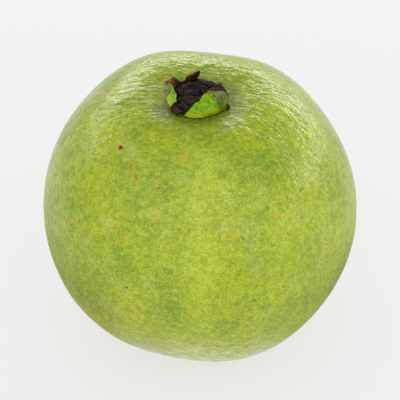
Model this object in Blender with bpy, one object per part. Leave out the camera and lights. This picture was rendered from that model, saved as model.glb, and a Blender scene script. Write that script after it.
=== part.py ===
"""A green guava, picked, standing on its stem end with the calyx up.

The fruit is one solid. The calyx on top is a short green wall with a broad front lobe and withered sepals,
and the flower's dried-up disc lies inside it. A stub of stalk sits in the dimple underneath.
Metres, +Z up. The origin is on the surface that the fruit stands on, under the fruit's middle.
"""

import math

import bmesh
import bpy
from mathutils import Vector

MM = 0.001

# The fruit's body. Its skin is a distance from the body's middle, given by the polar angle from the
# calyx and the azimuth round the axis from +X.
DIAMETER = 75 * MM
RADIUS = DIAMETER / 2
BODY_WAVES = (0.023, -0.003, 0.004, -0.004)  # shares of the radius, for cos 1, 2, 3 and 4 times the polar angle
BASIN_DEPTH = 7.5 * MM
BASIN_SPREAD = math.radians(26.5)
LOBES = (  # how many round the fruit, how high, and the azimuth of the first crest
    (2, 0.74 * MM, -48),
    (3, 0.31 * MM, -47),
    (4, 0.67 * MM, 30),
    (5, 0.22 * MM, -6),
    (6, 0.40 * MM, -8),
)
FOOT_CUT = 1.5 * MM  # how much of the round underside is pressed flat
DIMPLE_DEPTH = 4.0 * MM
DIMPLE_SPREAD = math.radians(6)
FRUIT_ROWS = 56
ROW_CROWDING = 0.3  # how much closer the rows are at the two ends
FRUIT_COLUMNS = 64

# The stub of stalk in the dimple underneath.
STALK_RADIUS = 1.7 * MM
STALK_LENGTH = 1.3 * MM
STALK_SIDES = 16

# The crown's wall: how long it is from root to margin, its lean out of the upright at the root, the curl it
# adds by the margin, and how far the margin is swept round the axis.
GAP = 0.35 * MM
WALL = 0.7 * MM
CROWN_OFFSET = Vector((-0.3 * MM, -0.8 * MM, 0))  # the crown grows a little off the fruit's axis
CALYX_RADIUS = 6.75 * MM
CALYX_OVAL = 0.35 * MM
CALYX_COLUMNS = 96
CALYX_STEPS = 8
CALYX_KEYS = (  # azimuth, length, lean, curl, sweep
    (4, 4.4 * MM, -4, -44, 0),  # right side, its withered edge folded in
    (20, 4.0 * MM, -6, -38, 0),
    (36, 1.9 * MM, -18, -25, 0),
    (50, 1.0 * MM, -26, -10, 0),  # low rim at the back
    (80, 1.0 * MM, -24, -10, 0),
    (94, 1.2 * MM, -18, -8, 0),
    (105, 3.7 * MM, -12, -6, -18),  # pointed withered sepal
    (117, 2.9 * MM, -10, -4, -11),
    (129, 2.0 * MM, -8, 0, -5),
    (139, 2.9 * MM, -8, 95, 0),  # sepal folded out at the back
    (151, 3.5 * MM, -8, 112, 0),
    (163, 2.0 * MM, -20, 25, 0),
    (185, 1.9 * MM, -36, 0, 0),  # left side, leaning in
    (211, 1.4 * MM, -26, 0, 0),
    (224, 2.4 * MM, 4, 118, 0),  # withered sepal folded out and down
    (237, 2.5 * MM, 4, 118, 0),
    (247, 1.2 * MM, 0, -30, 0),
    (264, 3.4 * MM, 4, -75, 0),  # broad green front lobe
    (288, 5.4 * MM, 6, -92, 0),
    (314, 6.1 * MM, 6, -96, 0),
    (342, 5.4 * MM, 2, -78, 0),
)

# The withered flower on the calyx's floor.
DISC_RADIUS = 6.4 * MM
DISC_HEIGHT = 1.5 * MM
DISC_ROWS = 9
DISC_COLUMNS = 90
STAMENS = 15
STAMEN_RING = 0.62  # as a share of the disc's radius
STAMEN_HEIGHT = 0.7 * MM
STYLE_RADIUS = 0.7 * MM
STYLE_HEIGHT = 1.5 * MM


def clear_scene():
    for obj in list(bpy.data.objects):
        bpy.data.objects.remove(obj)


def material(name, colour, roughness):
    made = bpy.data.materials.new(name)
    made.use_nodes = True
    shader = made.node_tree.nodes["Principled BSDF"]
    shader.inputs["Base Color"].default_value = (*colour, 1)
    shader.inputs["Roughness"].default_value = roughness
    shader.inputs["Metallic"].default_value = 0
    return made


def skin_distance(polar, azimuth):
    """Distance from the body's middle to the skin."""
    waves = sum(share * math.cos(k * polar) for k, share in enumerate(BODY_WAVES, start=1))
    distance = RADIUS * (1 + waves)
    distance -= BASIN_DEPTH * math.exp(-((polar / BASIN_SPREAD) ** 2))
    distance -= DIMPLE_DEPTH * math.exp(-(((math.pi - polar) / DIMPLE_SPREAD) ** 4))
    window = math.sin(polar) ** 2 * (1 + math.cos(polar) / 2)
    for count, height, crest in LOBES:
        distance += height * window * math.cos(count * (azimuth - math.radians(crest)))
    return distance


def underside():
    """Depth of the round underside below the body's middle, where it would be with no dimple."""
    waves = sum(share * (-1) ** k for k, share in enumerate(BODY_WAVES, start=1))
    return RADIUS * (1 + waves)


MIDDLE = underside() - FOOT_CUT


def skin_point(polar, azimuth):
    """A point of the skin, over the surface that the fruit stands on, which presses it flat."""
    distance = skin_distance(polar, azimuth)
    across = distance * math.sin(polar)
    height = max(0.0, MIDDLE + distance * math.cos(polar))
    return Vector((across * math.cos(azimuth), across * math.sin(azimuth), height))


def skin_height(across, azimuth):
    """Height of the skin at that distance from the axis, near the calyx."""
    polar = across / RADIUS
    for _ in range(20):
        polar = math.asin(across / skin_distance(polar, azimuth))
    return skin_point(polar, azimuth).z


def turned(columns, closed, offset=Vector((0, 0, 0))):
    """A mesh from columns of points set round an axis. An open column starts and ends on the axis."""
    mesh = bmesh.new()
    if closed:
        rings = [[mesh.verts.new(point) for point in column] for column in columns]
    else:
        top = mesh.verts.new(columns[0][0])
        bottom = mesh.verts.new(columns[0][-1])
        rings = [[top, *[mesh.verts.new(p) for p in column[1:-1]], bottom] for column in columns]
    for here, there in zip(rings, rings[1:] + rings[:1]):
        pairs = list(zip(here, here[1:])) + ([(here[-1], here[0])] if closed else [])
        others = list(zip(there, there[1:])) + ([(there[-1], there[0])] if closed else [])
        for (a, b), (c, d) in zip(pairs, others):
            corners = [a, b, d, c]
            mesh.faces.new([v for k, v in enumerate(corners) if v not in corners[:k]])
    bmesh.ops.triangulate(mesh, faces=mesh.faces[:])
    bmesh.ops.translate(mesh, verts=mesh.verts, vec=offset)
    bmesh.ops.recalc_face_normals(mesh, faces=mesh.faces[:])
    return mesh


def add_object(name, mesh, finish):
    data = bpy.data.meshes.new(name)
    mesh.to_mesh(data)
    mesh.free()
    data.materials.append(finish)
    data.shade_smooth()
    obj = bpy.data.objects.new(name, data)
    bpy.context.scene.collection.objects.link(obj)
    return obj


def make_fruit():
    parts = [r / FRUIT_ROWS for r in range(FRUIT_ROWS + 1)]
    polars = [math.pi * part - ROW_CROWDING * math.sin(math.tau * part) for part in parts]
    columns = []
    for c in range(FRUIT_COLUMNS):
        azimuth = math.tau * c / FRUIT_COLUMNS
        columns.append([skin_point(polar, azimuth) for polar in polars])
    green = material("guava_skin", (0.36, 0.46, 0.055), 0.4)
    return add_object("fruit", turned(columns, closed=False), green)


def crown_foot(across, azimuth):
    """How high a piece of the crown starts, to clear the skin, at a distance and azimuth from the crown's middle."""
    place = CROWN_OFFSET + Vector((across * math.cos(azimuth), across * math.sin(azimuth), 0))
    return skin_height(place.length, math.atan2(place.y, place.x)) + GAP


def calyx_key(azimuth):
    """Length, lean, curl and sweep of the crown's wall at an azimuth, eased from one key to the next."""
    turn = math.degrees(azimuth) % 360
    keys = [*CALYX_KEYS, (CALYX_KEYS[0][0] + 360, *CALYX_KEYS[0][1:])]
    if turn < keys[0][0]:
        turn += 360
    for here, there in zip(keys, keys[1:]):
        if turn <= there[0]:
            part = (turn - here[0]) / (there[0] - here[0])
            break
    ease = part * part * (3 - 2 * part)
    length, lean, curl, sweep = (a + (b - a) * ease for a, b in zip(here[1:], there[1:]))
    return length, math.radians(lean), math.radians(curl), math.radians(sweep)


def wall_line(azimuth):
    """Middle of the crown's wall from root to margin, as (across, height, angle out of the upright, azimuth)."""
    length, lean, curl, sweep = calyx_key(azimuth)
    across = CALYX_RADIUS - CALYX_OVAL * math.cos(2 * azimuth)
    height = crown_foot(across + WALL / 2, azimuth)
    step = length / CALYX_STEPS
    line = []
    for k in range(CALYX_STEPS + 1):
        part = k / CALYX_STEPS
        line.append((across, height, lean + curl * part, azimuth + sweep * part**2))
        angle = lean + curl * (part + 0.5 / CALYX_STEPS)
        across += step * math.sin(angle)
        height += step * math.cos(angle)
    return line


def wall_side(line, offset, beyond=0.0):
    """The wall's line moved square to it by offset and along it by beyond."""
    points = []
    for across, height, angle, azimuth in line:
        r = across + offset * math.cos(angle) + beyond * math.sin(angle)
        z = height - offset * math.sin(angle) + beyond * math.cos(angle)
        points.append(Vector((r * math.cos(azimuth), r * math.sin(azimuth), z)))
    return points


def make_calyx():
    columns = []
    for c in range(CALYX_COLUMNS):
        line = wall_line(math.tau * c / CALYX_COLUMNS)
        inner = wall_side(line, -WALL / 2)
        margin = wall_side(line[-1:], 0, WALL / 2)
        outer = wall_side(line, WALL / 2)
        columns.append([*inner, *margin, *reversed(outer)])
    green = material("calyx_green", (0.25, 0.44, 0.04), 0.45)
    return add_object("calyx", turned(columns, closed=True, offset=CROWN_OFFSET), green)


def disc_room(azimuth, top):
    """How far the disc can reach at an azimuth before it comes near the crown's wall."""
    low = [p for p in wall_side(wall_line(azimuth), -WALL / 2) if p.z < top + WALL]
    return min(DISC_RADIUS, min(math.hypot(p.x, p.y) for p in low) - GAP)


def disc_top(share, azimuth, reach):
    """Height of the disc over its foot: a withered cushion, a ring of stamen stubs and the style's stump."""
    height = DISC_HEIGHT * (1 - 0.35 * share**6)
    ring = math.exp(-(((share - STAMEN_RING) / 0.16) ** 2))
    height += STAMEN_HEIGHT * ring * max(0.0, math.cos(STAMENS * azimuth)) ** 0.5
    height += STYLE_HEIGHT * math.exp(-((share * reach / STYLE_RADIUS) ** 4))
    return height


def make_dried_flower():
    foot = max(crown_foot(DISC_RADIUS, math.tau * k / 12) for k in range(12))
    columns = []
    for c in range(DISC_COLUMNS):
        azimuth = math.tau * c / DISC_COLUMNS
        reach = disc_room(azimuth, foot + DISC_HEIGHT)
        column = []
        for k in range(DISC_ROWS + 1):
            share = k / DISC_ROWS
            across = reach * share
            height = foot + disc_top(share, azimuth, reach)
            column.append(Vector((across * math.cos(azimuth), across * math.sin(azimuth), height)))
        column.append(Vector((column[-1].x, column[-1].y, foot)))
        column.append(Vector((0, 0, foot)))
        columns.append(column)
    brown = material("dried_flower", (0.035, 0.018, 0.014), 0.7)
    return add_object("dried_flower", turned(columns, closed=False, offset=CROWN_OFFSET), brown)


def make_stalk():
    top = skin_point(math.pi - 1.2 * STALK_RADIUS / RADIUS, 0).z - GAP
    mesh = bmesh.new()
    bmesh.ops.create_cone(
        mesh,
        cap_ends=True,
        segments=STALK_SIDES,
        radius1=STALK_RADIUS,
        radius2=STALK_RADIUS,
        depth=STALK_LENGTH,
    )
    bmesh.ops.translate(mesh, verts=mesh.verts, vec=(0, 0, top - STALK_LENGTH / 2))
    bark = material("stalk_bark", (0.13, 0.09, 0.045), 0.8)
    return add_object("stalk_stub", mesh, bark)


clear_scene()
make_fruit()
make_calyx()
make_dried_flower()
make_stalk()
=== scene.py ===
"""The looks of a green guava: its waxy mottled skin, the half-withered calyx and the dried flower in it."""

import math
import random

import bpy
import numpy as np
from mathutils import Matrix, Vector, noise


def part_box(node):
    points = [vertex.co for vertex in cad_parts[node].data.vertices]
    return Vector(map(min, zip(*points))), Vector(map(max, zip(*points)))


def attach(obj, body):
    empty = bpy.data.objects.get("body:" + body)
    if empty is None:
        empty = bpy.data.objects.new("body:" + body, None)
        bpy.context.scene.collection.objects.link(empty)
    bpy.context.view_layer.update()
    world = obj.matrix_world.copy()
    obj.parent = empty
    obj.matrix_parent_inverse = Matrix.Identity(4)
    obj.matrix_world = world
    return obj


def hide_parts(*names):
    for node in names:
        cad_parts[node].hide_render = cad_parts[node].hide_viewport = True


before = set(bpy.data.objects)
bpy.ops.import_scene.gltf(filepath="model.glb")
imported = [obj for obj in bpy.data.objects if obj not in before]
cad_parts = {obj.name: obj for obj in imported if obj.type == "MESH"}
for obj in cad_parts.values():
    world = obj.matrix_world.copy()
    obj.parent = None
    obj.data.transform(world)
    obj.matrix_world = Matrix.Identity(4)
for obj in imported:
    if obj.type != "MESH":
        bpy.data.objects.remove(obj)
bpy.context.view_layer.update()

MM = 0.001

# The skin, as in the part's source: a distance from the body's middle by polar angle and azimuth
RADIUS = 37.5 * MM
BODY_WAVES = (0.023, -0.003, 0.004, -0.004)
BASIN_DEPTH = 7.5 * MM
BASIN_SPREAD = math.radians(26.5)
LOBES = (  # crests round the body, their height, and the azimuth of one of them
    (2, 0.74 * MM, -48),
    (3, 0.31 * MM, -47),
    (4, 0.67 * MM, 30),
    (5, 0.22 * MM, -6),
    (6, 0.40 * MM, -8),
)
FOOT_CUT = 1.5 * MM
DIMPLE_DEPTH = 4.0 * MM
DIMPLE_SPREAD = math.radians(6)
BODY_FOOT = RADIUS * (1 + sum(share * (-1) ** k for k, share in enumerate(BODY_WAVES, start=1)))
MIDDLE = BODY_FOOT - FOOT_CUT
SKIN_ROWS = 270
SKIN_COLUMNS = 350
ROW_CROWDING = 0.3
HEIGHT_ROUNDS = 20

# The skin's low relief: height in mm and noise per mm, and where it fades out above the flat spot
SWELLINGS = ((0.05, 0.16), (0.04, 0.42))
CREASES = (0.018, 0.95)
CREASE_SQUEEZE = 2.2
RELIEF_END = 0.93
RELIEF_FADE = 8

# The crown, as in the part's source
GAP = 0.35 * MM
WALL = 0.7 * MM
CROWN_OFFSET = Vector((-0.3 * MM, -0.8 * MM, 0))
CALYX_RADIUS = 6.75 * MM
CALYX_OVAL = 0.35 * MM
CALYX_KEYS = (  # azimuth, length, lean, curl, sweep
    (4, 4.4 * MM, -4, -44, 0),
    (20, 4.0 * MM, -6, -38, 0),
    (36, 1.9 * MM, -18, -25, 0),
    (50, 1.0 * MM, -26, -10, 0),
    (80, 1.0 * MM, -24, -10, 0),
    (94, 1.2 * MM, -18, -8, 0),
    (105, 3.7 * MM, -12, -6, -18),
    (117, 2.9 * MM, -10, -4, -11),
    (129, 2.0 * MM, -8, 0, -5),
    (139, 2.9 * MM, -8, 95, 0),
    (151, 3.5 * MM, -8, 112, 0),
    (163, 2.0 * MM, -20, 25, 0),
    (185, 1.9 * MM, -36, 0, 0),
    (211, 1.4 * MM, -26, 0, 0),
    (224, 2.4 * MM, 4, 118, 0),
    (237, 2.5 * MM, 4, 118, 0),
    (247, 1.2 * MM, 0, -30, 0),
    (264, 3.4 * MM, 4, -75, 0),
    (288, 5.4 * MM, 6, -92, 0),
    (314, 6.1 * MM, 6, -96, 0),
    (342, 5.4 * MM, 2, -78, 0),
)
CALYX_COLUMNS = 720
CALYX_STEPS = 40
MARGIN_THINNING = 0.25

# How far up its outer face the calyx is still green: azimuth, and a share of the wall's length
GREEN_KEYS = (
    (10, 0.0),
    (40, 0.0),
    (56, 0.7),
    (94, 0.7),
    (103, 0.25),
    (128, 0.5),
    (139, 0.35),
    (151, 0.3),
    (160, 1.3),
    (208, 1.3),
    (216, 0.1),
    (242, 0.1),
    (250, 0.95),
    (262, 1.02),
    (286, 1.0),
    (312, 0.93),
    (321, 0.87),
    (332, 0.8),
    (342, 0.72),
    (352, 0.58),
    (358, 0.2),
    (363, 0.0),
)
GREEN_EDGE = 14  # how sharply the green ends

# Small brown marks of the calyx: azimuth, share of the way up, radius in mm
CALYX_MARKS = (
    (311, 0.66, 0.5),
    (305, 0.62, 0.25),
    (264, 0.36, 0.22),
    (270, 0.30, 0.2),
    (282, 0.02, 0.22),
    (288, 0.04, 0.25),
    (294, 0.03, 0.25),
    (300, 0.04, 0.2),
    (334, 0.70, 0.35),
)

# The dry nub at the calyx's foot and the spread foot of its left wall: azimuth, how far out, half width
NUB = (331, 1.3 * MM, 6)
NUB_RISE = (0.08, 0.13)
FLARE = (190, 0.8 * MM, 22)
FLARE_RISE = 0.6

# Stretches round the calyx: azimuth and half width in degrees, and a power that squares their ends
# SHADED and SHADE_DEPTH set painted shade that darkens the right of the front lobe, where it turns away from
# the light
SHADED = (329, 23, 6)
DASHED = (293, 15, 4)
RUSTY_FOLD = (149, 9, 2)
RUSTY_POINT = (117, 5, 2)
DRY_FOOT = (345, 14, 4)
FRESH_NOTCH = (130.5, 6.5, 4)
GREEN_FRINGE = (122, 14, 4)
SHADE_DEPTH = 0.64
DRY_FOOT_SHARE = 0.9
DRY_FOOT_RISE = 0.07
NOTCH_RISE = 0.74
NOTCH_EDGE = 20

# How rusty the rusty stretches are on the wall's inner face, on its margin and on its outer face
RUST_INSIDE = 0.9
RUST_MARGIN = 0.9
RUST_OUTSIDE = 0.7
RUST_OF_POINT = 0.45

# Ruffles of the calyx's wall: depth in mm where green, how much more where withered, and noise per mm
RUFFLE_GREEN = 0.03
RUFFLE_WITHERED = 0.11
RUFFLE_PITCHES = (1.3, 2.7)
INNER_RUFFLE = 0.08 * MM

# The withered cushion on the calyx's floor, with lumps by height and noise per mm
DISC_RADIUS = 6.4 * MM
DISC_HEIGHT = 1.5 * MM
DISC_DROOP = 0.35
DISC_LUMPS = (0.5 * MM, 0.55)
DISC_RIDGES = (0.35 * MM, 1.2)
DISC_CRUMBS = (0.16 * MM, 2.6)
STYLE_RADIUS = 0.7 * MM
STYLE_HEIGHT = 1.5 * MM
DISC_ROWS = 60
DISC_COLUMNS = 360
DISC_SMOOTHING = 6
FOOT_PROBES = 12

# The withered stamens, and the tangle that they lie in
FILAMENTS = 130
FILAMENT_SEED = 7
FILAMENT_RADIUS = 0.11 * MM
FILAMENT_THICKNESS = (0.7, 1.3)
FILAMENT_TAPER = 0.45
FILAMENT_SIDES = 5
FILAMENT_POINTS = 6
FILAMENT_STEP = (0.22 * MM, 0.42 * MM)
FILAMENT_WANDER = 0.8
FILAMENT_LIFT = (0.1, 0.9)
FILAMENT_DROOP = 0.32
FILAMENT_SINK = 0.1 * MM
TANGLE_HOLLOW = 0.08
TANGLE_RADIUS = 4.9 * MM
TANGLE_LIMIT = 5.0 * MM

# The stub of stalk
STALK_RADIUS = 1.7 * MM
STALK_COLUMNS = 48
STALK_ROWS = 10
STALK_WEAR = 0.05
STALK_WEAR_PITCH = 2.5
STALK_BEVEL = 0.18

# The camera: how far it stands off, how high it looks down from, and how wide it sees at the fruit's middle
CAMERA_DISTANCE = 0.52
CAMERA_ELEVATION = math.radians(38)
FRAME_WIDTH = 95.8 * MM
AIM_UP = 1.54 * MM
SENSOR = 36


def eased(keys, azimuth):
    """The values at an azimuth of a list of keys round the axis, eased from each key to the next."""
    turn = math.degrees(azimuth) % 360
    keys = [*keys, (keys[0][0] + 360, *keys[0][1:])]
    if turn < keys[0][0]:
        turn += 360
    for here, there in zip(keys, keys[1:]):
        if turn <= there[0]:
            part = (turn - here[0]) / (there[0] - here[0])
            break
    ease = part * part * (3 - 2 * part)
    return [a + (b - a) * ease for a, b in zip(here[1:], there[1:])]


def within(degrees, stretch):
    """1 in the middle of a stretch round the calyx, falling to 0 beyond its ends."""
    middle, half, power = stretch
    return math.exp(-(((degrees - middle) / half) ** power))


def skin_distance(polar, azimuth):
    waves = sum(share * np.cos(k * polar) for k, share in enumerate(BODY_WAVES, start=1))
    distance = RADIUS * (1 + waves)
    distance = distance - BASIN_DEPTH * np.exp(-((polar / BASIN_SPREAD) ** 2))
    distance = distance - DIMPLE_DEPTH * np.exp(-(((np.pi - polar) / DIMPLE_SPREAD) ** 4))
    window = np.sin(polar) ** 2 * (1 + np.cos(polar) / 2)
    for count, height, crest in LOBES:
        distance = distance + height * window * np.cos(count * (azimuth - math.radians(crest)))
    return distance


def skin_height(across, azimuth):
    """Height of the skin at a distance from the body's axis."""
    polar = across / RADIUS
    for _ in range(HEIGHT_ROUNDS):
        polar = math.asin(across / skin_distance(polar, azimuth))
    return MIDDLE + skin_distance(polar, azimuth) * math.cos(polar)


def mesh_object(name, points, faces, finish):
    data = bpy.data.meshes.new(name)
    data.from_pydata([tuple(p) for p in points], [], faces)
    data.update()
    data.materials.append(finish)
    data.shade_smooth()
    obj = bpy.data.objects.new(name, data)
    bpy.context.scene.collection.objects.link(obj)
    return obj


def attribute(obj, name, values):
    layer = obj.data.attributes.new(name, "FLOAT", "POINT")
    layer.data.foreach_set("value", [float(v) for v in values])


def grid_faces(columns, rows, closed_rows):
    """Quads of a grid that closes round its columns, and round its rows too if asked."""
    faces = []
    for c in range(columns):
        d = (c + 1) % columns
        for r in range(rows if closed_rows else rows - 1):
            s = (r + 1) % rows
            faces.append((c * rows + r, c * rows + s, d * rows + s, d * rows + r))
    return faces


def capped_faces(columns, rows):
    """Faces of a grid round an axis, closed at both ends by the two points that follow the grid's own."""
    faces = [tuple(reversed(face)) for face in grid_faces(columns, rows, False)]
    top = columns * rows
    for c in range(columns):
        d = (c + 1) % columns
        faces.append((top, c * rows, d * rows))
        faces.append((top + 1, d * rows + rows - 1, c * rows + rows - 1))
    return faces


# Shader nodes
class Shader:
    """The node tree of a material or a world, with a short call for each kind of node."""

    def __init__(self, owner):
        owner.use_nodes = True
        self.owner = owner
        self.tree = owner.node_tree

    def put(self, socket, value):
        if isinstance(value, bpy.types.NodeSocket):
            self.tree.links.new(value, socket)
        elif isinstance(value, tuple) and socket.type == "RGBA" and len(value) == 3:
            socket.default_value = (*value, 1)
        else:
            socket.default_value = value

    def node(self, kind, inputs, **settings):
        made = self.tree.nodes.new(kind)
        for key, value in settings.items():
            setattr(made, key, value)
        for key, value in inputs.items():
            self.put(made.inputs[key], value)
        return made

    def math(self, operation, a, b=0.0):
        return self.node("ShaderNodeMath", {0: a, 1: b}, operation=operation).outputs[0]

    def plus(self, a, b):
        return self.math("ADD", a, b)

    def times(self, a, b):
        return self.math("MULTIPLY", a, b)

    def swing(self, pattern, width):
        """A pattern's swing to either side of its middle, times a width."""
        return self.times(self.math("SUBTRACT", pattern, 0.5), width)

    def vector(self, operation, a, b=(0, 0, 0), output=0):
        return self.node("ShaderNodeVectorMath", {0: a, 1: b}, operation=operation).outputs[output]

    def stretched(self, where, factors):
        return self.vector("MULTIPLY", where, factors)

    def combined(self, x, y, z=0.0):
        return self.node("ShaderNodeCombineXYZ", {0: x, 1: y, 2: z}).outputs[0]

    def noise(self, where, scale, detail=2.0, roughness=0.5, distortion=0.0):
        inputs = {"Vector": where, "Scale": scale, "Detail": detail, "Roughness": roughness}
        inputs["Distortion"] = distortion
        return self.node("ShaderNodeTexNoise", inputs).outputs["Fac"]

    def cells(self, where, scale):
        """Distance to the nearest cell's middle, and a random number for each cell."""
        made = self.node("ShaderNodeTexVoronoi", {"Vector": where, "Scale": scale})
        mixed = self.vector("DOT_PRODUCT", made.outputs["Color"], (7, 3, 5), 1)
        return made.outputs["Distance"], self.math("FRACT", mixed)

    def steps(self, value, low, high, bottom=0.0, top=1.0):
        """The value eased from bottom at low to top at high."""
        inputs = {"Value": value, "From Min": low, "From Max": high, "To Min": bottom, "To Max": top}
        made = self.node("ShaderNodeMapRange", inputs, interpolation_type="SMOOTHSTEP")
        return made.outputs[0]

    def mix(self, share, a, b):
        """From colour a at a share of 0 to colour b at 1."""
        made = self.tree.nodes.new("ShaderNodeMix")
        made.data_type = "RGBA"
        for index, value in ((0, share), (6, a), (7, b)):
            self.put(made.inputs[index], value)
        return made.outputs[2]

    def darken(self, colour, share):
        """The colour times a number that varies over the surface."""
        made = self.node("ShaderNodeVectorMath", {0: colour, "Scale": share}, operation="SCALE")
        return made.outputs[0]

    def attribute(self, name):
        return self.node("ShaderNodeAttribute", {}, attribute_name=name).outputs["Fac"]

    def bump(self, height, distance, after=None):
        inputs = {"Height": height, "Distance": distance, "Strength": 1.0}
        if after is not None:
            inputs["Normal"] = after
        return self.node("ShaderNodeBump", inputs).outputs[0]

    def millimetres(self):
        """The object's own coordinates, in millimetres."""
        place = self.node("ShaderNodeTexCoord", {}).outputs["Object"]
        return self.stretched(place, (1000, 1000, 1000))

    def finish(self, colour, roughness, normal=None, specular=0.5):
        inputs = self.tree.nodes["Principled BSDF"].inputs
        self.put(inputs["Base Color"], colour)
        self.put(inputs["Roughness"], roughness)
        if normal is not None:
            self.put(inputs["Normal"], normal)
        inputs["Specular IOR Level"].default_value = specular
        return self.owner


def srgb(*levels):
    """Linear colour of 8-bit screen levels."""
    return tuple((v / 255 / 12.92) if v <= 10 else ((v / 255 + 0.055) / 1.055) ** 2.4 for v in levels)


def direction(azimuth, polar):
    a, p = math.radians(azimuth), math.radians(polar)
    return (math.sin(p) * math.cos(a), math.sin(p) * math.sin(a), math.cos(p))


# The skin's colours
DEEP_GREEN = srgb(99, 145, 2)
GREEN = srgb(136, 163, 4)
YELLOW_GREEN = srgb(165, 181, 6)
BRIGHT = srgb(182, 200, 40)
PALE_GREEN = srgb(188, 200, 74)
PALE_GRAIN = srgb(202, 210, 118)
PALE_CLOUD = srgb(178, 190, 92)
# painted reflection of the bright floor, low on the front
REFLECTED_FLOOR = srgb(228, 235, 200)
OLIVE = srgb(122, 138, 10)
DARK_OLIVE = srgb(84, 100, 10)
# painted shade, used under the calyx's left foot
SHADE = srgb(48, 58, 12)
YELLOW = srgb(182, 180, 8)
ORANGE = srgb(208, 160, 14)
RUST = srgb(176, 104, 10)
SCAR_BROWN = srgb(92, 40, 14)
PINK_BROWN = srgb(208, 152, 84)

# The calyx's colours
LEAF_DARK = srgb(92, 142, 8)
LEAF_BRIGHT = srgb(142, 182, 20)
LEAF_FOOT = srgb(172, 190, 30)
DASH_BROWN = srgb(112, 70, 12)
MARK_RIM = srgb(176, 150, 20)
MARK_MIDDLE = srgb(84, 52, 14)
WITHERED_DARK = srgb(12, 5, 5)
WITHERED_BROWN = srgb(68, 34, 22)
# painted glints on the withered wall
WITHERED_GLINT = srgb(70, 56, 58)
SEAM_BROWN = srgb(120, 66, 20)
RUSTY_DARK = srgb(150, 70, 18)
RUSTY_PALE = srgb(176, 112, 40)

# The dried flower's and the stalk's colours
FLOWER_DARK = srgb(6, 3, 6)
FLOWER_BROWN = srgb(64, 44, 38)
# painted glints on the withered flower
FLOWER_GLINT = srgb(76, 66, 66)
FLOWER_OLIVE = srgb(84, 80, 26)
STALK_DARK = srgb(62, 42, 22)
STALK_PALE = srgb(136, 112, 70)

# The skin's patterns: noise per mm, detail, roughness and distortion
BROAD = (0.075, 3, 0.55, 0.3)
PATCHY = (0.3, 3, 0.6, 0.5)
CLOUDY = (0.17, 3, 0.6, 0.4)
NET = (0.8, 3, 0.6, 0.4)
FINE = (2.4, 4, 0.7)
GRAIN = (4.4, 2, 0.7)
# pattern of the painted floor reflection's streaks
REFLECTION_STREAKS = (1.2, 4, 0.65, 0.3)
DENTS = (0.42, 2, 0.5)
FOLDS = (0.5, 2, 0.5, 0.5)
WRINKLES = (1.15, 2, 0.5, 0.5)
PORES_PER_MM = 0.9
SPECKS_PER_MM = 0.42

# How deep the skin's patterns are, and how its wrinkles run: drawn out sideways, and bent on the right
DENT_DEPTH = 0.25 * MM
FOLD_DEPTH = 0.26 * MM
WRINKLE_DEPTH = 0.1 * MM
FINE_DEPTH = 0.03 * MM
PORE_DEPTH = 0.04 * MM
WRINKLE_STRETCH = 0.42
WRINKLE_BEND = 0.018

# How deep the patterns of the calyx, flower and stalk are
RIB_DEPTH = 0.12 * MM
CALYX_FOLD_DEPTH = 0.5 * MM
FLOWER_LUMP_DEPTH = 0.6 * MM
FLOWER_CRUMB_DEPTH = 0.25 * MM
FIBRE_DEPTH = 0.2 * MM

# Marks of the skin: azimuth and polar angle, radius in mm, colour and strength
MARKS = (
    (-139.1, 39.3, 0.75, RUST, 0.8),
    (-139.1, 39.3, 0.42, SCAR_BROWN, 1.0),
    (-117.5, 87.3, 0.35, SCAR_BROWN, 0.7),
    (-71.7, 87.0, 0.45, SCAR_BROWN, 0.45),
    (-72.9, 91.0, 0.35, SCAR_BROWN, 0.5),
    (-78.9, 41.8, 1.1, DEEP_GREEN, 0.6),
    (-94.2, 41.4, 0.9, DEEP_GREEN, 0.5),
    (-127.5, 43.3, 0.5, RUST, 0.7),
    (-122.7, 45.8, 0.55, RUST, 0.75),
    (-111.8, 45.2, 0.4, ORANGE, 0.6),
    (-107.2, 46.3, 0.45, ORANGE, 0.6),
    (-112.3, 50.7, 0.5, ORANGE, 0.6),
    (-144.6, 71.1, 0.6, ORANGE, 0.6),
    (-119.3, 66.8, 0.6, ORANGE, 0.55),
    (-120.6, 69.1, 0.4, ORANGE, 0.6),
    (-101.3, 34.9, 0.8, ORANGE, 0.5),
    (-99.0, 35.8, 0.5, ORANGE, 0.4),
    (-103.2, 36.6, 0.45, ORANGE, 0.4),
    (-142.6, 46.4, 0.4, ORANGE, 0.6),
    (-60.3, 59.1, 0.55, ORANGE, 0.75),
    (-78.0, 62.2, 0.55, ORANGE, 0.6),
    (-76.0, 62.4, 0.4, ORANGE, 0.6),
    (-71.6, 61.6, 0.35, ORANGE, 0.5),
    (163.2, 43.2, 0.7, PINK_BROWN, 0.55),
    (164.2, 40.1, 0.8, PINK_BROWN, 0.7),
    (166.2, 37.9, 0.7, PINK_BROWN, 0.7),
    (171.1, 35.9, 0.55, PINK_BROWN, 0.6),
    (178.0, 34.4, 0.5, PINK_BROWN, 0.5),
    (-175.6, 33.6, 0.45, PINK_BROWN, 0.45),
    (165.4, 36.3, 0.35, SCAR_BROWN, 0.6),
)
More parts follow.
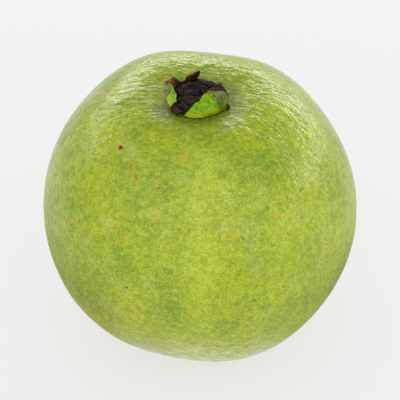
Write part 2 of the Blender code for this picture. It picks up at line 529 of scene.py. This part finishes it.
# Broad patches: azimuth and polar angle, radius in mm, colour and strength. The SHADE patch and the olive
# patches low on the flanks are painted shade.
PATCHES = (
    (-49, 43, 9, DEEP_GREEN, 0.5),
    (-126, 50, 8, DEEP_GREEN, 0.35),
    # painted shade under the calyx's left foot
    (-143, 16.5, 5.5, SHADE, 0.95),
    (-105, 98, 9, DEEP_GREEN, 0.35),
    (-62, 100, 9, DEEP_GREEN, 0.35),
    (-69, 73, 9, DEEP_GREEN, 0.35),
    (160, 60, 12, DEEP_GREEN, 0.5),
    (30, 75, 13, DEEP_GREEN, 0.5),
    (100, 55, 12, DEEP_GREEN, 0.5),
    (-88, 40, 9, BRIGHT, 0.6),
    (-60, 66, 10, BRIGHT, 0.6),
    (-100, 70, 14, BRIGHT, 0.25),
    (-147, 52, 10, BRIGHT, 0.3),
    (-38, 65, 9, BRIGHT, 0.3),
    (-117, 100, 8, YELLOW, 0.5),
    (-84, 90, 9, YELLOW, 0.4),
    # Olive and dark olive patches from here down: painted shade low on the left and right flanks
    (-139, 100, 14, OLIVE, 0.8),
    (-130, 112, 12, OLIVE, 0.7),
    (-31, 111, 15, OLIVE, 0.9),
    (-24, 97, 12, OLIVE, 0.6),
    (-150, 108, 15, DARK_OLIVE, 0.25),
    (-136, 126, 13, DARK_OLIVE, 0.2),
    (-24, 106, 14, DARK_OLIVE, 0.45),
    (-41, 122, 14, DARK_OLIVE, 0.6),
    (-50, 98, 12, OLIVE, 0.45),
    (-112, 122, 13, OLIVE, 0.5),
)


class SkinPlace:
    """Where a point of the skin is, in mm from the body's middle, and the patterns used more than once."""

    def __init__(self, s):
        self.shader = s
        self.place = s.vector("SUBTRACT", s.millimetres(), (0, 0, MIDDLE / MM))
        self.heading = s.vector("NORMALIZE", self.place)
        parts = s.node("ShaderNodeSeparateXYZ", {"Vector": self.place})
        self.x, self.y, self.z = parts.outputs[0], parts.outputs[1], parts.outputs[2]
        across = s.math("SQRT", s.plus(s.times(self.x, self.x), s.times(self.y, self.y)))
        self.polar = s.math("ARCTAN2", across, self.z)
        from_crown = s.vector("SUBTRACT", self.place, tuple(CROWN_OFFSET / MM))
        self.beside = s.vector("LENGTH", s.stretched(from_crown, (1, 1, 0)), output=1)
        self.broad = s.noise(self.place, *BROAD)
        self.patches = s.noise(self.place, *PATCHY)
        self.fine = s.noise(s.stretched(self.place, (0.7, 1, 1)), *FINE)
        dots, chance = s.cells(self.place, PORES_PER_MM)
        self.pore = s.times(s.steps(dots, 0.2, 0.08), s.steps(chance, 0.35, 0.5))

    def away(self, azimuth, polar):
        """How far off a direction the point is, as a share of the radius."""
        return self.shader.vector("DISTANCE", self.heading, direction(azimuth, polar), 1)


def mottling(s, at):
    """Green and yellow green in broad clouds, with patches of a few millimetres in them; some of the listed
    patches are painted shade.
    """
    colour = s.mix(s.steps(at.broad, 0.36, 0.66), GREEN, YELLOW_GREEN)
    colour = s.mix(s.steps(at.patches, 0.5, 0.72, 0, 0.38), colour, DEEP_GREEN)
    colour = s.mix(s.steps(at.patches, 0.5, 0.3, 0, 0.48), colour, YELLOW)
    clouds = s.noise(s.vector("ADD", at.place, (31, 0, 17)), *CLOUDY)
    colour = s.mix(s.steps(clouds, 0.5, 0.68, 0, 0.5), colour, PALE_CLOUD)
    ragged = s.swing(at.patches, 0.3)
    for azimuth, polar, size, tint, strength in PATCHES:
        off = s.plus(at.away(azimuth, polar), ragged)
        colour = s.mix(s.steps(off, size * MM / RADIUS, 0.0, 0, strength), colour, tint)
    return colour


def front_tints(s, at, colour):
    """The yellower band down the front, and the warmer part low on the front."""
    off = s.plus(at.x, s.swing(at.patches, 9.0))
    band = s.times(s.steps(s.math("ABSOLUTE", off), 5.2, 0.5), s.steps(at.y, -20, -30))
    band = s.times(band, s.steps(at.z, -16, 4))
    colour = s.mix(s.times(band, 0.62), colour, BRIGHT)
    ripe = s.times(s.steps(at.z, -4, -18), s.steps(at.y, -8, -22))
    return s.mix(s.times(ripe, 0.4), colour, YELLOW)


def basin_tints(s, at, colour):
    """The olive basin, darker close to the calyx, but less so on its left: partly the deeper green the skin
    has round a calyx, partly painted shade of the calyx.
    """
    colour = s.mix(s.times(s.steps(at.polar, 0.58, 0.3), 0.65), colour, OLIVE)
    # darker olive round the calyx: partly deeper green skin, partly painted shade
    deep_green_and_calyx_shade = s.times(s.steps(at.beside, 12.0, 7.4, 0, 0.7), s.steps(at.x, -9.5, -5.5, 0.4, 1))
    return s.mix(deep_green_and_calyx_shade, colour, DARK_OLIVE)


def painted_floor_reflection(s, at, colour):
    """Painted reflection of the bright floor: pale streaks low on the front, which end above the underside.
    """
    low_front = s.times(s.steps(at.away(-84, 138), 0.64, 0.2), s.steps(at.z, -33, -28.5))
    # painted reflection of the floor, in streaks
    glare = s.noise(s.stretched(at.place, (0.3, 1, 1)), *REFLECTION_STREAKS)
    return s.mix(s.times(low_front, s.steps(glare, 0.4, 0.64, 0, 0.8)), colour, REFLECTED_FLOOR)


def net_and_grain(s, at, colour):
    """The pale net and its green pits, a fine grain that is weaker in the basin, and the pores."""
    net = s.noise(at.place, *NET)
    grain = s.noise(at.place, *GRAIN)
    colour = s.mix(s.steps(net, 0.46, 0.68, 0, 0.34), colour, PALE_GREEN)
    colour = s.darken(colour, s.steps(net, 0.32, 0.56, 0.84, 1.03))
    colour = s.darken(colour, s.steps(at.fine, 0.34, 0.64, 0.84, 1.14))
    colour = s.darken(colour, s.steps(grain, 0.34, 0.66, 0.7, 1.2))
    pale = s.times(s.steps(grain, 0.42, 0.68, 0, 0.2), s.steps(at.polar, 0.3, 0.6, 0.3, 1))
    colour = s.mix(pale, colour, PALE_GRAIN)
    return s.darken(colour, s.steps(at.pore, 0, 1, 1.0, 0.82))


def specks_and_marks(s, at, colour):
    """Scattered orange specks on the left of the front, and the marks placed one by one."""
    specks, luck = s.cells(at.place, SPECKS_PER_MM)
    left = s.steps(at.away(-130, 58), 0.62, 0.3)
    low_left = s.steps(at.away(-116, 98), 0.4, 0.2)
    some = s.times(s.steps(luck, 0.72, 0.76), s.math("MAXIMUM", left, low_left))
    speck = s.times(s.steps(specks, 0.17, 0.09), some)
    colour = s.mix(s.times(speck, 0.6), colour, ORANGE)
    for azimuth, polar, size, tint, strength in MARKS:
        off = s.plus(at.away(azimuth, polar), s.swing(at.fine, 0.02))
        edge = size * MM / RADIUS
        share = s.steps(off, edge * 1.35, edge * 0.55)
        colour = s.mix(s.times(share, strength), colour, tint)
    return colour


def skin_bump(s, at):
    """Wrinkles of about a millimetre over shallow dents."""
    bend = s.times(s.times(at.x, s.math("MAXIMUM", at.x, 0.0)), WRINKLE_BEND)
    bent = s.combined(s.times(at.x, WRINKLE_STRETCH), s.plus(at.y, bend), at.z)
    wrinkles = s.swing(s.noise(bent, *WRINKLES), s.steps(at.broad, 0.35, 0.6, 1.3, 0.7))
    bump = s.bump(s.noise(at.place, *DENTS), DENT_DEPTH)
    bump = s.bump(s.noise(bent, *FOLDS), FOLD_DEPTH, after=bump)
    bump = s.bump(wrinkles, WRINKLE_DEPTH, after=bump)
    bump = s.bump(at.fine, FINE_DEPTH, after=bump)
    return s.bump(s.times(at.pore, -1.0), PORE_DEPTH, after=bump)


def skin_roughness(s, at):
    """Glossy on top, duller close to the calyx and down the flanks."""
    roughness = s.steps(at.fine, 0.3, 0.7, 0.14, 0.25)
    roughness = s.plus(roughness, s.steps(at.beside, 14, 7.5, 0, 0.35))
    flanks = s.times(s.steps(at.z, 16, -10), s.steps(s.math("ABSOLUTE", at.x), 12, 25))
    return s.plus(roughness, s.times(flanks, 0.45))


def skin_material():
    s = Shader(bpy.data.materials.new("waxy_rind"))
    at = SkinPlace(s)
    colour = mottling(s, at)
    for layer in (front_tints, basin_tints, painted_floor_reflection, net_and_grain, specks_and_marks):
        colour = layer(s, at, colour)
    return s.finish(colour, skin_roughness(s, at), skin_bump(s, at), specular=0.36)


def green_leaf(s, place, around, rise, ribs, mottle):
    """The calyx where it is alive: paler at its foot, with painted shade on the right where it turns from the
    light, with brown dashes and marks.
    """
    green = s.mix(s.steps(mottle, 0.35, 0.65), LEAF_DARK, LEAF_BRIGHT)
    green = s.darken(green, s.steps(ribs, 0.32, 0.68, 0.72, 1.2))
    green = s.mix(s.steps(rise, 2.0, 0.1, 0, 0.75), green, LEAF_FOOT)
    # painted shade on the right of the front lobe
    green = s.darken(green, s.attribute("painted_shade"))
    dashes = s.noise(s.combined(around, s.times(rise, 1.5)), 1.9, 2, 0.6)
    dashes = s.times(s.steps(dashes, 0.42, 0.54), s.steps(rise, 1.1, 0.3))
    dashes = s.times(dashes, s.attribute("footing"))
    green = s.mix(s.times(dashes, 0.8), green, DASH_BROWN)
    for azimuth, share, size in CALYX_MARKS:
        line = wall_line(math.radians(azimuth))
        centre = wall_point(line[round(share * CALYX_STEPS)], WALL / 2) / MM
        off = s.plus(s.vector("DISTANCE", place, tuple(centre), 1), s.swing(ribs, 0.5))
        green = s.mix(s.steps(off, size * 1.8, size * 0.8, 0, 0.5), green, MARK_RIM)
        green = s.mix(s.steps(off, size * 1.1, size * 0.5, 0, 0.85), green, MARK_MIDDLE)
    return green


def withered_leaf(s, place, folds):
    brown = s.mix(s.steps(folds, 0.34, 0.68), WITHERED_DARK, WITHERED_BROWN)
    # pale grey flecks on the withered wall: painted glints
    glints = s.steps(s.noise(place, 1.1, 2), 0.56, 0.7, 0, 0.25)
    return s.mix(glints, brown, WITHERED_GLINT)


def calyx_material():
    """Bright green where it is alive, brown and wrinkled along the margin where it has withered."""
    s = Shader(bpy.data.materials.new("calyx_half_withered"))
    place = s.millimetres()
    around, rise = s.attribute("around"), s.attribute("rise")
    ribs = s.noise(s.combined(around, s.times(rise, 0.3)), 2.4, 3, 0.65)
    folds = s.noise(s.combined(s.times(around, 0.5), s.times(rise, 2.6)), 1.3, 3, 0.6, 0.5)
    mottle = s.noise(place, 1.3, 3, 0.6)
    edge = s.plus(s.attribute("withered"), s.swing(s.noise(place, 1.8, 3, 0.6), 0.5))
    share = s.steps(edge, 0.42, 0.58)
    seam = s.times(s.steps(edge, 0.3, 0.45), s.steps(edge, 0.62, 0.48))
    green = green_leaf(s, place, around, rise, ribs, mottle)
    colour = s.mix(share, green, withered_leaf(s, place, folds))
    colour = s.mix(s.times(seam, 0.6), colour, SEAM_BROWN)
    colour = s.mix(s.attribute("rusty"), colour, s.mix(mottle, RUSTY_DARK, RUSTY_PALE))
    bump = s.bump(ribs, RIB_DEPTH)
    bump = s.bump(s.times(folds, share), CALYX_FOLD_DEPTH, after=bump)
    return s.finish(colour, s.steps(share, 0, 1, 0.36, 0.7), bump, specular=0.15)


def flower_material():
    s = Shader(bpy.data.materials.new("withered_flower"))
    place = s.millimetres()
    streaks = s.noise(s.stretched(place, (0.6, 1, 1)), 1.0, 4, 0.7, 0.6)
    colour = s.mix(s.steps(streaks, 0.38, 0.64), FLOWER_DARK, FLOWER_BROWN)
    # pale grey flecks on the cushion: painted glints
    glints = s.steps(s.noise(place, 1.9, 3, 0.6), 0.56, 0.68, 0, 0.3)
    colour = s.mix(glints, colour, FLOWER_GLINT)
    olive = s.steps(s.noise(place, 0.55, 2), 0.56, 0.66, 0, 0.6)
    colour = s.mix(olive, colour, FLOWER_OLIVE)
    bump = s.bump(s.noise(place, 1.4, 3, 0.6), FLOWER_LUMP_DEPTH)
    bump = s.bump(s.noise(place, 3.2, 4, 0.7), FLOWER_CRUMB_DEPTH, after=bump)
    return s.finish(colour, 0.6, bump, specular=0.15)


def stalk_material():
    s = Shader(bpy.data.materials.new("woody_stalk"))
    fibres = s.noise(s.stretched(s.millimetres(), (1, 1, 0.25)), 3.0, 4, 0.65)
    colour = s.mix(fibres, STALK_DARK, STALK_PALE)
    return s.finish(colour, 0.8, s.bump(fibres, FIBRE_DEPTH))


# The pieces
def skin_relief(heading):
    """Shallow dents and swellings of the skin, as a height in metres for a direction from the middle."""
    p = Vector(heading) * RADIUS / MM
    high = sum(height * noise.noise(p * pitch) for height, pitch in SWELLINGS)
    squeezed = Vector((p.x, p.y, CREASE_SQUEEZE * p.z))
    high += CREASES[0] * noise.noise(squeezed * CREASES[1])
    fade = min(1.0, max(0.0, (heading[2] + RELIEF_END) * RELIEF_FADE))
    return high * MM * fade


def make_skin():
    rows = np.linspace(0, 1, SKIN_ROWS + 1)[1:-1]
    polars = np.pi * rows - ROW_CROWDING * np.sin(2 * np.pi * rows)
    azimuths = 2 * np.pi * np.arange(SKIN_COLUMNS) / SKIN_COLUMNS
    polar, azimuth = np.meshgrid(polars, azimuths)
    distance = skin_distance(polar, azimuth).reshape(-1)
    headings = [np.sin(polar) * np.cos(azimuth), np.sin(polar) * np.sin(azimuth), np.cos(polar)]
    points = np.stack(headings, axis=-1).reshape(-1, 3)
    distance = distance + np.array([skin_relief(p) for p in points])
    points = points * distance[:, None] + (0, 0, MIDDLE)
    points[:, 2] = np.maximum(points[:, 2], 0)
    top = (0, 0, MIDDLE + float(skin_distance(0.0, 0.0)))
    bottom = (0, 0, MIDDLE - float(skin_distance(math.pi, 0.0)))
    faces = capped_faces(SKIN_COLUMNS, len(polars))
    return mesh_object("fruit_skin", [*points, top, bottom], faces, skin_material())


def crown_foot(across, azimuth):
    """Height just above the skin at a distance from the crown's axis."""
    place = CROWN_OFFSET + Vector((across * math.cos(azimuth), across * math.sin(azimuth), 0))
    return skin_height(place.length, math.atan2(place.y, place.x)) + GAP


def wall_line(azimuth):
    """Middle of the wall from root to margin: across, height, angle out of the upright, azimuth, rise."""
    length, lean, curl, sweep = eased(CALYX_KEYS, azimuth)
    lean, curl, sweep = math.radians(lean), math.radians(curl), math.radians(sweep)
    across = CALYX_RADIUS - CALYX_OVAL * math.cos(2 * azimuth)
    height = crown_foot(across + WALL / 2, azimuth)
    step = length / CALYX_STEPS
    line = []
    for k in range(CALYX_STEPS + 1):
        part = k / CALYX_STEPS
        line.append((across, height, lean + curl * part, azimuth + sweep * part**2, part))
        angle = lean + curl * (part + 0.5 / CALYX_STEPS)
        across += step * math.sin(angle)
        height += step * math.cos(angle)
    return line


def wall_point(place, offset, beyond=0.0):
    """The point that lies off a place of the wall's middle, square to the wall and beyond its margin."""
    across, height, angle, azimuth, _ = place
    r = across + offset * math.cos(angle) + beyond * math.sin(angle)
    z = height - offset * math.sin(angle) + beyond * math.cos(angle)
    return Vector((r * math.cos(azimuth), r * math.sin(azimuth), z)) + CROWN_OFFSET


def nub_push(azimuth, rise):
    """How far the dry nub at the calyx's foot stands out of the wall."""
    turn = (math.degrees(azimuth) - NUB[0] + 180) % 360 - 180
    middle, half = NUB_RISE
    return NUB[1] * math.exp(-((turn / NUB[2]) ** 2)) * math.exp(-(((rise - middle) / half) ** 2))


def flare_push(azimuth, rise):
    """How far the left wall's foot spreads."""
    turn = math.degrees(azimuth) - FLARE[0]
    return FLARE[1] * math.exp(-((turn / FLARE[2]) ** 4)) * math.exp(-((rise / FLARE_RISE) ** 2))


def ruffle(place, withered):
    """Wrinkles of the withered parts of the wall, as a push square to it."""
    across, height, _, azimuth, _ = place
    p = Vector((across / MM * math.cos(azimuth), across / MM * math.sin(azimuth), height / MM))
    fine = noise.noise(p * RUFFLE_PITCHES[0]) + 0.6 * noise.noise(p * RUFFLE_PITCHES[1])
    return fine * (RUFFLE_GREEN + RUFFLE_WITHERED * withered) * MM


def outer_dryness(azimuth, rise):
    """How withered the wall's outer face is, from 0 to 1."""
    green_to = eased(GREEN_KEYS, azimuth)[0]
    dry = 1 / (1 + math.exp(-(rise - green_to) * GREEN_EDGE))
    low = math.exp(-((rise / DRY_FOOT_RISE) ** 2))
    dry_foot = DRY_FOOT_SHARE * within(math.degrees(azimuth), DRY_FOOT) * low
    return max(dry, dry_foot, nub_push(azimuth, rise) / NUB[1])


def wall_loop(azimuth):
    """The wall up its inner face, over its margin and down its outer face: point, place, dryness, rust."""
    line = wall_line(azimuth)
    turn = math.degrees(azimuth)
    halves = [WALL / 2 * (1 - MARGIN_THINNING * place[4] ** 3) for place in line]
    outer = [outer_dryness(azimuth, place[4]) for place in line]
    loop = []
    for place, half in zip(line, halves):
        fresh = within(turn, FRESH_NOTCH) / (1 + math.exp(-(place[4] - NOTCH_RISE) * NOTCH_EDGE))
        point = wall_point(place, -half + min(ruffle(place, 1.0), INNER_RUFFLE))
        loop.append((point, place, 1 - fresh, RUST_INSIDE * place[4] ** 2))
    margin = wall_point(line[-1], 0, halves[-1])
    loop.append((margin, line[-1], outer[-1] * (1 - within(turn, GREEN_FRINGE)), RUST_MARGIN))
    for place, half, dry in reversed(list(zip(line, halves, outer))):
        push = half + ruffle(place, dry) + nub_push(azimuth, place[4]) + flare_push(azimuth, place[4])
        loop.append((wall_point(place, push), place, dry, RUST_OUTSIDE * place[4]))
    return loop


def make_calyx():
    points = []
    values = {"around": [], "rise": [], "withered": [], "painted_shade": [], "rusty": [], "footing": []}
    for c in range(CALYX_COLUMNS):
        azimuth = math.tau * c / CALYX_COLUMNS
        turn = math.degrees(azimuth)
        length = eased(CALYX_KEYS, azimuth)[0] / MM
        rust = max(within(turn, RUSTY_FOLD), RUST_OF_POINT * within(turn, RUSTY_POINT))
        for point, place, dry, rusty in wall_loop(azimuth):
            swept = math.degrees(place[3]) % 360
            points.append(point)
            values["around"].append(azimuth * CALYX_RADIUS / MM)
            values["rise"].append(place[4] * length)
            values["withered"].append(dry)
            # painted shade on the right of the front lobe
            values["painted_shade"].append(1 - SHADE_DEPTH * within(swept, SHADED))
            values["footing"].append(within(swept, DASHED))
            values["rusty"].append(rusty * rust)
    rows = 2 * (CALYX_STEPS + 1) + 1
    calyx = mesh_object("calyx_wall", points, grid_faces(CALYX_COLUMNS, rows, True), calyx_material())
    for name, numbers in values.items():
        attribute(calyx, name, numbers)
    return calyx


def disc_foot():
    """Height that clears the skin under the whole cushion."""
    return max(crown_foot(DISC_RADIUS, math.tau * k / FOOT_PROBES) for k in range(FOOT_PROBES))


def disc_reach(azimuth, top):
    """How far out the cushion may go before it meets the wall."""
    low = [wall_point(place, -WALL / 2) - CROWN_OFFSET for place in wall_line(azimuth)]
    low = [p for p in low if p.z < top + WALL]
    return min(DISC_RADIUS, min(math.hypot(p.x, p.y) for p in low) - GAP / 2)


def disc_rise(p, across, share):
    """Height of the cushion's top over its foot, at a point and its share of the way to the wall."""
    q = p / MM
    high = DISC_HEIGHT * (1 - DISC_DROOP * share**6)
    lumps, ridges, crumbs = (noise.noise(q * pitch) for _, pitch in (DISC_LUMPS, DISC_RIDGES, DISC_CRUMBS))
    high += DISC_LUMPS[0] * lumps + DISC_RIDGES[0] * abs(ridges)
    high += DISC_CRUMBS[0] * crumbs
    return high + STYLE_HEIGHT * math.exp(-((across / STYLE_RADIUS) ** 4))


def make_disc():
    """The withered cushion on the calyx's floor."""
    foot = disc_foot()
    reaches = [disc_reach(math.tau * c / DISC_COLUMNS, foot + DISC_HEIGHT) for c in range(DISC_COLUMNS)]
    points = []
    for c in range(DISC_COLUMNS):
        azimuth = math.tau * c / DISC_COLUMNS
        near = [reaches[(c + k) % DISC_COLUMNS] for k in range(-DISC_SMOOTHING, DISC_SMOOTHING + 1)]
        reach = sum(near) / len(near)
        for k in range(1, DISC_ROWS + 1):
            share = k / DISC_ROWS
            across = reach * share
            p = Vector((across * math.cos(azimuth), across * math.sin(azimuth), 0))
            points.append(p + Vector((0, 0, foot + disc_rise(p, across, share))) + CROWN_OFFSET)
        points.append(Vector((p.x, p.y, foot)) + CROWN_OFFSET)
    points.append(CROWN_OFFSET + Vector((0, 0, foot + DISC_HEIGHT + STYLE_HEIGHT)))
    points.append(CROWN_OFFSET + Vector((0, 0, foot)))
    return mesh_object("flower_cushion", points, capped_faces(DISC_COLUMNS, DISC_ROWS + 1), flower_material())


def tube(path, radius, taper, sides):
    """Rings of points along a path, closed at both ends, as points and faces."""
    points, faces = [], []
    for k, here in enumerate(path):
        ahead = (path[min(k + 1, len(path) - 1)] - path[max(k - 1, 0)]).normalized()
        side = ahead.orthogonal().normalized()
        other = ahead.cross(side)
        r = radius * (1 - taper * k / len(path))
        for j in range(sides):
            turn = math.tau * j / sides
            points.append(here + (side * math.cos(turn) + other * math.sin(turn)) * r)
    for k in range(len(path) - 1):
        for j in range(sides):
            i = (j + 1) % sides
            faces.append((k * sides + j, k * sides + i, (k + 1) * sides + i, (k + 1) * sides + j))
    faces.append(tuple(reversed(range(sides))))
    faces.append(tuple(range((len(path) - 1) * sides, len(path) * sides)))
    return points, faces


def make_filaments(finish):
    """Withered stamens lying in a tangle on the cushion."""
    dice = random.Random(FILAMENT_SEED)
    foot = disc_foot() + DISC_HEIGHT
    points, faces = [], []
    for _ in range(FILAMENTS):
        azimuth = dice.uniform(0, math.tau)
        across = TANGLE_RADIUS * math.sqrt(dice.uniform(TANGLE_HOLLOW, 1.0))
        here = Vector((across * math.cos(azimuth), across * math.sin(azimuth), foot - FILAMENT_SINK))
        heading = dice.uniform(0, math.tau)
        step = dice.uniform(*FILAMENT_STEP)
        lift = dice.uniform(*FILAMENT_LIFT)
        path = []
        for k in range(FILAMENT_POINTS):
            path.append(here + CROWN_OFFSET)
            heading += dice.uniform(-FILAMENT_WANDER, FILAMENT_WANDER)
            here = here + Vector((math.cos(heading), math.sin(heading), lift - FILAMENT_DROOP * k)) * step
            if math.hypot(here.x, here.y) > TANGLE_LIMIT:
                heading += math.pi / 2
        radius = FILAMENT_RADIUS * dice.uniform(*FILAMENT_THICKNESS)
        more, quads = tube(path, radius, FILAMENT_TAPER, FILAMENT_SIDES)
        faces += [tuple(i + len(points) for i in face) for face in quads]
        points += more
    return mesh_object("withered_stamens", points, faces, finish)


def make_stalk():
    """The stub's worn end, a little uneven all round."""
    low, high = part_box("stalk_stub")
    points = []
    for c in range(STALK_COLUMNS):
        turn = math.tau * c / STALK_COLUMNS
        worn = abs(noise.noise(Vector((math.cos(turn), math.sin(turn), 0)) * STALK_WEAR_PITCH))
        for k in range(STALK_ROWS + 1):
            part = k / STALK_ROWS
            height = low.z + (high.z - low.z) * part
            r = STALK_RADIUS * (1 - STALK_WEAR * worn) * (1 - STALK_BEVEL * (2 * part - 1) ** 8)
            points.append(Vector((r * math.cos(turn), r * math.sin(turn), height)))
    points.append(Vector((0, 0, low.z)))
    points.append(Vector((0, 0, high.z)))
    return mesh_object("stalk_end", points, capped_faces(STALK_COLUMNS, STALK_ROWS + 1), stalk_material())


# The studio
# Broad fill from the front and the front right: azimuth and elevation in degrees, sharpness and strength
FILL = (
    (255, 38, 1.6, 1.05),
    (329, 15, 3.3, 0.65),
)
SURROUNDINGS = 0.34
# Long low softboxes behind the fruit: azimuth and elevation in degrees, width and height in m, power in W
SOFTBOXES = (
    (38, 14, 1.05, 0.22, 4.0),
    (84, 18, 1.05, 0.22, 4.5),
    (134, 21, 1.05, 0.22, 2.7),
)
SOFTBOX_DISTANCE = 1.1
FLOOR_ALBEDO = 0.2
FLOOR_GLOW = 0.67
FLOOR_HALF = 3.0
FLOOR_DROP = 0.02 * MM


def make_softboxes():
    for k, (azimuth, elevation, width, height, power) in enumerate(SOFTBOXES):
        data = bpy.data.lights.new("softbox_%d" % k, "AREA")
        data.shape = "RECTANGLE"
        data.size = width
        data.size_y = height
        data.energy = power
        light = bpy.data.objects.new("softbox_%d" % k, data)
        place = Vector(direction(azimuth, 90 - elevation))
        light.location = place * SOFTBOX_DISTANCE + Vector((0, 0, MIDDLE))
        light.rotation_euler = (-place).to_track_quat("-Z", "Y").to_euler()
        bpy.context.scene.collection.objects.link(light)


def make_floor():
    """A pale floor that glows a little, as a lit table does, so that shadows stay faint."""
    s = Shader(bpy.data.materials.new("pale_floor"))
    s.finish((FLOOR_ALBEDO, FLOOR_ALBEDO, FLOOR_ALBEDO), 0.9, specular=0.0)
    inputs = s.tree.nodes["Principled BSDF"].inputs
    inputs["Emission Color"].default_value = (1, 1, 1, 1)
    inputs["Emission Strength"].default_value = FLOOR_GLOW
    corners = [(x * FLOOR_HALF, y * FLOOR_HALF, 0) for x, y in ((-1, -1), (1, -1), (1, 1), (-1, 1))]
    floor = mesh_object("floor", corners, [(0, 1, 2, 3)], s.owner)
    floor.location.z = -FLOOR_DROP


def make_world():
    """White surroundings that are brighter in the directions of the fill."""
    s = Shader(bpy.data.worlds.new("studio"))
    view = s.node("ShaderNodeTexCoord", {}).outputs["Generated"]
    total = SURROUNDINGS
    for azimuth, elevation, sharpness, strength in FILL:
        facing = s.vector("DOT_PRODUCT", view, direction(azimuth, 90 - elevation), 1)
        lobe = s.math("POWER", s.math("MAXIMUM", facing, 0.0), sharpness)
        total = s.plus(s.times(lobe, strength), total)
    s.put(s.tree.nodes["Background"].inputs["Color"], (1, 1, 1))
    s.put(s.tree.nodes["Background"].inputs["Strength"], total)
    bpy.context.scene.world = s.owner


def make_camera():
    e = CAMERA_ELEVATION
    middle = Vector((0, 0, MIDDLE))
    back = Vector((0, -math.cos(e), math.sin(e)))
    up = Vector((0, math.sin(e), math.cos(e)))
    data = bpy.data.cameras.new("camera")
    data.sensor_width = SENSOR
    data.lens = SENSOR * CAMERA_DISTANCE / FRAME_WIDTH
    camera = bpy.data.objects.new("camera", data)
    camera.location = middle + back * CAMERA_DISTANCE
    aim = middle + up * AIM_UP
    camera.rotation_euler = (aim - camera.location).to_track_quat("-Z", "Y").to_euler()
    bpy.context.scene.collection.objects.link(camera)
    bpy.context.scene.camera = camera


skin = make_skin()
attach(skin, "root")
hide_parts("fruit")

calyx = make_calyx()
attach(calyx, "root")
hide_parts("calyx")

disc = make_disc()
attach(disc, "root")
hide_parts("dried_flower")

stamens = make_filaments(disc.data.materials[0])
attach(stamens, "root")

stalk = make_stalk()
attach(stalk, "root")
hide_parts("stalk_stub")

make_floor()
make_world()
make_softboxes()
make_camera()
bpy.context.scene.view_settings.view_transform = "Standard"
